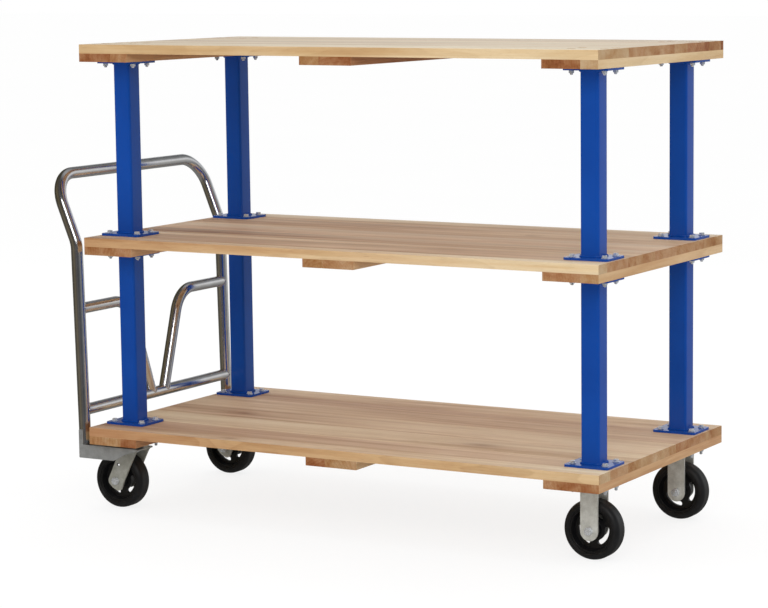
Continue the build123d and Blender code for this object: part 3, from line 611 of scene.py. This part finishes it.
def bent_path(points):
    """Centre line of a bent tube: straight runs with tangent arcs at each inner point."""
    pts = [Vector(point) for point in points]
    out, start = [pts[0]], pts[0]

    def run(a, b):
        n = max(1, int((b - a).length / STRAIGHT_STEP))
        return [a.lerp(b, k / n) for k in range(1, n + 1)]

    for i in range(1, len(pts) - 1):
        back = (pts[i - 1] - pts[i]).normalized()
        ahead = (pts[i + 1] - pts[i]).normalized()
        half = back.angle(ahead) / 2
        reach = BEND_RADIUS / math.tan(half)
        arc_start, arc_end = pts[i] + back * reach, pts[i] + ahead * reach
        centre = pts[i] + (back + ahead).normalized() * (BEND_RADIUS / math.sin(half))
        out += run(start, arc_start)
        u, v = arc_start - centre, arc_end - centre
        sweep = u.angle(v)
        n = max(4, int(ARC_STEPS * sweep / ARC_UNIT))
        for k in range(1, n + 1):
            f = k / n
            spoke = u * math.sin((1 - f) * sweep) + v * math.sin(f * sweep)
            out.append(centre + spoke / math.sin(sweep))
        start = out[-1]
    return out + run(start, pts[-1])


def tube(bm, path, radius, sides=64, closed=False, wall=0.0):
    """Sweeps a circle along path with a frame that never twists.

    radius may be a function of the path index; wall makes an open tube hollow."""
    n = len(path)
    radius_at = radius if callable(radius) else lambda i: radius
    tangents = []
    for i in range(n):
        before = path[i - 1] if (i or closed) else path[0]
        after = path[(i + 1) % n] if (i < n - 1 or closed) else path[-1]
        tangents.append((after - before).normalized())
    up = Vector((0, 0, 1)) if abs(tangents[0].z) < 0.9 else Vector((1, 0, 0))
    side = tangents[0].cross(up).normalized()
    frames = []
    for tangent in tangents:
        side = (side - tangent * side.dot(tangent)).normalized()
        frames.append((side, tangent.cross(side).normalized()))

    def ring(i, r):
        s, u = frames[i]
        angles = [2 * math.pi * k / sides for k in range(sides)]
        return [bm.verts.new(path[i] + (s * math.cos(a) + u * math.sin(a)) * r) for a in angles]

    def skin(ra, rb):
        for k in range(sides):
            j = (k + 1) % sides
            bm.faces.new((ra[k], ra[j], rb[j], rb[k]))

    outer = [ring(i, radius_at(i)) for i in range(n)]
    for i in range(n - 1):
        skin(outer[i], outer[i + 1])
    if closed:
        skin(outer[-1], outer[0])
    elif wall:
        inner = [ring(i, radius_at(i) - wall) for i in range(n)]
        for i in range(n - 1):
            skin(inner[i + 1], inner[i])
        skin(inner[0], outer[0])
        skin(outer[-1], inner[-1])
    else:
        bm.faces.new(outer[0][::-1])
        bm.faces.new(outer[-1])


def lathe(bm, profile, centre, segments):
    """Turns a closed (axial, radial) profile round the Y axis through centre."""
    rings = []
    for k in range(segments):
        a = 2 * math.pi * k / segments
        rings.append([bm.verts.new(centre + Vector((r * math.cos(a), axial, r * math.sin(a))))
                      for axial, r in profile])
    m = len(profile)
    for k in range(segments):
        ra, rb = rings[k], rings[(k + 1) % segments]
        for j in range(m):
            bm.faces.new((ra[j], ra[(j + 1) % m], rb[(j + 1) % m], rb[j]))


BEAD_STEP = 0.0008
RIPPLE_CURVE = 1.6  # how late each ripple dips
SWELL, SWELL_RATE, SWELL_PHASE = 0.05, 310, 9  # slow change of the bead's width


def bead(bm, path, radius, pitch, phase, depth=0.16):
    """A weld bead along a closed loop, with the overlapping ripples a torch leaves."""
    fine = []
    for i, a in enumerate(path):
        b = path[(i + 1) % len(path)]
        k = max(1, int((b - a).length / BEAD_STEP))
        fine += [a.lerp(b, j / k) for j in range(k)]
    lengths = [0.0]
    for i in range(1, len(fine)):
        lengths.append(lengths[-1] + (fine[i] - fine[i - 1]).length)

    def radius_at(i):
        f = (lengths[i] / pitch + phase) % 1.0
        swell = SWELL * math.sin(lengths[i] * SWELL_RATE + phase * SWELL_PHASE)
        return radius * (1.0 - depth * (f ** RIPPLE_CURVE) + swell)

    tube(bm, fine, radius_at, sides=10, closed=True)


# ---------------------------------------------------------------- handle
HANDLE_Y = 0.344  # uprights from the centre line
HOOP_R, RAIL_R, BRACE_R = 0.015875, 0.0156, 0.0153
HOOP_WALL = 0.002
# the uprights lean back from a foot LEAN_X from the deck centre, at height LEAN_Z
LEAN, LEAN_X, LEAN_Z = math.radians(1.2), -0.8032, 0.1575
UPRIGHT = Vector((-math.sin(LEAN), 0, math.cos(LEAN)))
HOOP_TOP_Z = 0.9115
TOP_SLOPE = 0.405  # rearward run per rise above the knee
RAIL_Z, RAIL_STEPS, RAIL_SHORT = 0.275, 24, 0.0012
# braces run in from the uprights at BRACE_Z, bend at BRACE_KNEE_Y, end on the rail at BRACE_FOOT_Y
BRACE_Z, BRACE_KNEE_Y, BRACE_FOOT_Y, BRACE_SHORT = 0.552, 0.1243, 0.0296, 0.0015


def lean_x(z):
    return DECK_X + LEAN_X - math.tan(LEAN) * (z - LEAN_Z)


def hoop():
    push_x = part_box("handle_hoop")[0].x + HOOP_R
    # the knee is where the lean meets the slope of the top part
    knee_z = ((push_x + TOP_SLOPE * HOOP_TOP_Z - DECK_X - LEAN_X - math.tan(LEAN) * LEAN_Z)
              / (TOP_SLOPE - math.tan(LEAN)))
    corners = ((lean_x(LEAN_Z), LEAN_Z), (lean_x(knee_z), knee_z), (push_x, HOOP_TOP_Z))
    path = bent_path([(x, -HANDLE_Y, z) for x, z in corners]
                     + [(x, HANDLE_Y, z) for x, z in corners[::-1]])
    bm = bmesh.new()
    tube(bm, path, HOOP_R, wall=HOOP_WALL)
    make("handle_hoop_tube", bm, "chromed_tube", "frame", stands=("handle_hoop",))


def lower_rail():
    bm = bmesh.new()
    reach = HANDLE_Y - RAIL_SHORT
    path = [Vector((lean_x(RAIL_Z), -reach + 2 * reach * k / RAIL_STEPS, RAIL_Z))
            for k in range(RAIL_STEPS + 1)]
    tube(bm, path, RAIL_R)
    make("handle_lower_rail_tube", bm, "chromed_tube", "frame", stands=("handle_lower_rail",))


def brace(s, side):
    x = lean_x(BRACE_Z)
    bm = bmesh.new()
    path = bent_path([(x, s * (HANDLE_Y - BRACE_SHORT), BRACE_Z),
                      (x, s * BRACE_KNEE_Y, BRACE_Z),
                      (lean_x(RAIL_Z), s * BRACE_FOOT_Y, RAIL_Z)])
    tube(bm, path, BRACE_R)
    make(f"handle_brace_{side}_tube", bm, "chromed_tube", "frame",
         stands=(f"handle_brace_{side}",))


def saddle(origin, direction, radius, axis, axis_radius, n=72):
    """Where a tube running along direction meets a tube round axis; both pass through origin."""
    d, w = direction.normalized(), axis.normalized()
    e1 = d.cross(w).normalized()
    e2 = d.cross(e1).normalized()
    out = []
    for k in range(n):
        angle = 2 * math.pi * k / n
        p = origin + (e1 * math.cos(angle) + e2 * math.sin(angle)) * radius - origin
        # distance from the axis as a quadratic in the travel along d
        pp, dd = p - w * p.dot(w), d - w * d.dot(w)
        a, b, c = dd.dot(dd), 2 * pp.dot(dd), pp.dot(pp) - axis_radius * axis_radius
        travel = (-b + math.sqrt(max(0.0, b * b - 4 * a * c))) / (2 * a)
        out.append(p + origin + d * travel)
    return out


def handle_welds():
    bm = bmesh.new()
    size = {"radius": 0.0019, "pitch": 0.0026}
    for s in (1, -1):
        inward = Vector((0, -s, 0))
        for z, radius, phase in ((RAIL_Z, RAIL_R, 0.3), (BRACE_Z, BRACE_R, 0.6)):
            joint = Vector((lean_x(z), s * HANDLE_Y, z))
            bead(bm, saddle(joint, inward, radius, UPRIGHT, HOOP_R), phase=phase, **size)
        foot = Vector((lean_x(RAIL_Z), s * BRACE_FOOT_Y, RAIL_Z))
        rise = Vector((lean_x(BRACE_Z) - lean_x(RAIL_Z), s * (BRACE_KNEE_Y - BRACE_FOOT_Y),
                       BRACE_Z - RAIL_Z))
        bead(bm, saddle(foot, rise, BRACE_R, Vector((0, 1, 0)), RAIL_R), phase=0.1, **size)
    make("handle_weld_beads", bm, "chromed_tube", "frame")


hoop()
lower_rail()
brace(1, "left")
brace(-1, "right")
handle_welds()

# ---------------------------------------------------------------- post welds
POST_X, POST_Y = 0.694, 0.265  # post centres from the deck centre
WELD_HALF = 0.0254 + 0.0010  # half the post width, plus the bead's stand-off
WELD_CORNER = 0.007
WELD_INSET = 0.00635 + 0.0012  # from the deck top, and from the cleats above
ENDS = ((1, "front"), (-1, "rear"))
SIDES = ((1, "left"), (-1, "right"))


def square_loop(cx, cy, z, half, r, n=8):
    """A square with rounded corners, n steps in each corner."""
    pts = []
    for qx, qy, start in ((1, 1, 0), (-1, 1, 90), (-1, -1, 180), (1, -1, 270)):
        for k in range(n + 1):
            a = math.radians(start + 90 * k / n)
            pts.append(Vector((cx + qx * (half - r) + r * math.cos(a),
                               cy + qy * (half - r) + r * math.sin(a), z)))
    return pts


def post_weld(i, tier, z0, sx, end, sy, side):
    bm = bmesh.new()
    z1 = z0 + DECK_PITCH - PLANK_THICK - CLEAT_THICK
    for j, z in enumerate((z0 + WELD_INSET, z1 - WELD_INSET)):
        loop = square_loop(DECK_X + sx * POST_X, sy * POST_Y, z, WELD_HALF, WELD_CORNER)
        bead(bm, loop, radius=0.0031, pitch=0.0040, depth=0.20, phase=0.17 * (i + j + sx + 2))
    make(f"post_weld_{tier}_{end}_{side}", bm, "blue_powder_coat", "frame")


for i, (tier, deck) in enumerate((("lower", "bottom"), ("upper", "middle"))):
    for sx, end in ENDS:
        for sy, side in SIDES:
            post_weld(i, tier, DECK_TOPS[deck], sx, end, sy, side)

# ---------------------------------------------------------------- rubber treads
TREAD_HALF, TREAD_R, SHOULDER_R = 0.0250, 0.0762, 0.0138
# (axial, radial) from the bore out to the foot of the side wall
TREAD_FOOT = [(0.0220, 0.0580), (0.0232, 0.0583), (0.0240, 0.0592), (0.0240, 0.0610),
              (TREAD_HALF, 0.0620)]
# (axial, radial) across the running face to the groove of the centre mould line
TREAD_FACE = [(0.0070, TREAD_R), (0.0016, TREAD_R), (0.0011, TREAD_R), (0.0008, 0.07605),
              (0.0, 0.07603)]


def tread_profile():
    wall = [(TREAD_HALF, 0.0620 + 0.0001 * k) for k in range(1, 4)]
    shoulder = []
    for k in range(15):
        a = math.radians(90 * k / 14)
        shoulder.append((TREAD_HALF - SHOULDER_R + SHOULDER_R * math.cos(a),
                         TREAD_R - SHOULDER_R + SHOULDER_R * math.sin(a)))
    half = TREAD_FOOT + wall + shoulder + TREAD_FACE
    return [(-axial, radial) for axial, radial in half] + half[::-1][1:]


for tyre in [name for name in nodes if name.endswith("_tyre")]:
    low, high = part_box(tyre)
    bm = bmesh.new()
    lathe(bm, tread_profile(), (low + high) / 2, segments=128)
    make(tyre.replace("_tyre", "_tread"), bm, "black_rubber",
         tyre.replace("_tyre", "").replace("caster", "wheel"), stands=(tyre,))

# ---------------------------------------------------------------- floor and world
# the mirrored room on the camera's side, from left to right
ROOM_STOPS = (
    (0.0, (0.035, 0.030, 0.014)), (0.05, (0.150, 0.120, 0.070)), (0.14, (0.095, 0.078, 0.045)),
    (0.28, (0.060, 0.052, 0.042)), (0.40, (0.085, 0.080, 0.080)), (0.55, (0.030, 0.032, 0.038)),
    (0.70, (0.032, 0.038, 0.046)), (0.83, (0.095, 0.105, 0.115)), (0.93, (0.240, 0.255, 0.270)),
    (1.0, (0.150, 0.155, 0.170)))
# the mirrored wall beyond the trolley, from straight down to straight up
WALL_STOPS = (
    (0.0, (0.14, 0.135, 0.13)), (0.25, (0.17, 0.165, 0.16)), (0.42, (0.30, 0.295, 0.285)),
    (0.50, (0.62, 0.62, 0.61)), (0.56, (0.92, 0.93, 0.95)), (0.64, (0.80, 0.81, 0.84)),
    (0.71, (0.16, 0.165, 0.17)), (0.80, (0.13, 0.135, 0.14)), (1.0, (0.42, 0.43, 0.45)))
SIDE_LEFT, SIDE_RIGHT = (0.15, 0.145, 0.13), (0.62, 0.62, 0.62)
DARK_LEFT = (0.055, 0.048, 0.030)
WHITE = (1.0, 1.0, 1.0)


def studio(t, ray):
    """What polished parts mirror: a dim, streaky room on the camera's side, a pale wall beyond."""
    toward = t.vec("DOT_PRODUCT", ray, (0.469, -0.883, 0.0))
    across = t.vec("DOT_PRODUCT", ray, (0.883, 0.469, 0.0))
    rise = t.split(ray)[2]
    room = t.ramp(t.remap(across, src=(-1.0, 1.0)), ROOM_STOPS)
    wall = t.ramp(t.remap(rise, src=(-1.0, 1.0)), WALL_STOPS)
    side = t.mix(t.remap(across, src=(-0.5, 0.5)), SIDE_LEFT, SIDE_RIGHT)
    beyond = t.mix(t.remap(toward, src=(-0.35, -0.75)), t.mix(0.5, side, wall), wall)
    beyond = t.mix(t.remap(across, src=(-0.04, -0.26)), beyond, DARK_LEFT)
    return t.mix(t.remap(toward, src=(0.05, -0.35)), room, beyond)


def floor_material():
    """Pale floor that glows white to the camera and shows the studio in reflections."""
    t = Surface("studio_floor")
    cloud = t.noise(t.coord(), scale=0.7)
    color = t.ramp(cloud, ((0.3, (0.84, 0.84, 0.84)), (0.7, (0.86, 0.86, 0.855))))
    t.principled(color=color, rough=0.8, spec=0.0)
    light_path = t.node("ShaderNodeLightPath").outputs
    glow = t.build("ShaderNodeEmission", {"Color": WHITE, "Strength": 1.04})
    dim = t.node("ShaderNodeEmission")
    incoming = t.build("ShaderNodeNewGeometry", {}, out="Incoming")
    ray = t.vec("MULTIPLY", incoming, (-1.0, -1.0, -1.0))
    steep = t.remap(t.split(ray)[2], src=(-0.30, -0.60))
    t.put(dim.inputs[0], t.mix(steep, studio(t, ray), (0.20, 0.195, 0.185)))
    # share of the glow in camera rays, then of the studio in glossy rays
    seen_share = t.math("MULTIPLY", light_path["Is Camera Ray"], 0.80)
    seen = t.build("ShaderNodeMixShader", {0: seen_share, 1: t.bsdf.outputs[0], 2: glow})
    mirror_share = t.math("MULTIPLY", light_path["Is Glossy Ray"], 0.96)
    mirrored = t.build("ShaderNodeMixShader", {0: mirror_share, 1: seen, 2: dim.outputs[0]})
    t.put(t.out.inputs[0], mirrored)


def floor(half=60.0):
    floor_material()
    bm = bmesh.new()
    bm.faces.new([bm.verts.new((sx * half, sy * half, 0))
                  for sx, sy in ((-1, -1), (1, -1), (1, 1), (-1, 1))])
    mesh_object("studio_floor", bm, materials["studio_floor"])


def studio_world():
    """White to the camera, the studio to reflections, even grey light to the rest."""
    world = bpy.data.worlds.new("studio")
    scene.world = world
    world.use_nodes = True
    t = Shader(world.node_tree)
    room = studio(t, t.build("ShaderNodeTexCoord", {}, out="Generated"))
    light_path = t.node("ShaderNodeLightPath").outputs
    lit = t.mix(light_path["Is Glossy Ray"], (0.94, 0.94, 0.94), room)
    color = t.mix(light_path["Is Camera Ray"], lit, WHITE)
    background = t.build("ShaderNodeBackground", {0: color})
    t.put(t.node("ShaderNodeOutputWorld").inputs[0], background)


floor()
studio_world()


# ---------------------------------------------------------------- lights
def softbox(name, place, target, size, power, mirrored=False):
    light = bpy.data.lights.new(name, "AREA")
    light.shape = "RECTANGLE"
    light.size, light.size_y = size
    light.energy = power
    lamp = bpy.data.objects.new(name, light)
    scene.collection.objects.link(lamp)
    lamp.location = place
    lamp.rotation_mode = "QUATERNION"
    lamp.rotation_quaternion = (Vector(target) - Vector(place)).to_track_quat("-Z", "Y")
    lamp.visible_glossy = mirrored


softbox("key_box", place=(2.9, -4.4, 3.2), target=(0.0, 0.0, 0.6), size=(2.4, 2.0), power=62,
        mirrored=True)
softbox("left_box", place=(-3.6, -3.6, 1.9), target=(0.0, 0.0, 0.6), size=(1.6, 2.4), power=16)
softbox("top_box", place=(0.0, 0.4, 4.4), target=(0.0, 0.0, 0.0), size=(4.0, 3.0), power=25)
softbox("rear_box", place=(-0.6, 4.4, 3.0), target=(0.0, 0.0, 0.5), size=(5.0, 1.8), power=32)

# ---------------------------------------------------------------- camera
CAMERA_PLACE = Vector((3.4297 + DECK_X, -5.9405, 1.4713))
# yaw is measured from +Y towards +X
YAW, PITCH, ROLL = (math.radians(angle) for angle in (-27.7766, -7.4402, -0.3781))


def camera():
    forward = Vector((math.sin(YAW) * math.cos(PITCH), math.cos(YAW) * math.cos(PITCH),
                      math.sin(PITCH)))
    level = Vector((math.cos(YAW), -math.sin(YAW), 0))
    above = level.cross(forward)
    right = level * math.cos(ROLL) + above * math.sin(ROLL)
    up = -level * math.sin(ROLL) + above * math.cos(ROLL)
    data = bpy.data.cameras.new("photo_camera")
    cam = bpy.data.objects.new("photo_camera", data)
    scene.collection.objects.link(cam)
    rows = zip(right, up, -forward, CAMERA_PLACE)
    cam.matrix_world = Matrix((*rows, (0, 0, 0, 1)))
    data.sensor_width = 36.0
    data.lens = 121.14375
    data.shift_x = -0.15454427
    data.shift_y = -0.0044401042
    data.clip_start, data.clip_end = 0.05, 200.0
    scene.camera = cam


camera()
scene.view_settings.view_transform = "Standard"
scene.view_settings.look = "None"
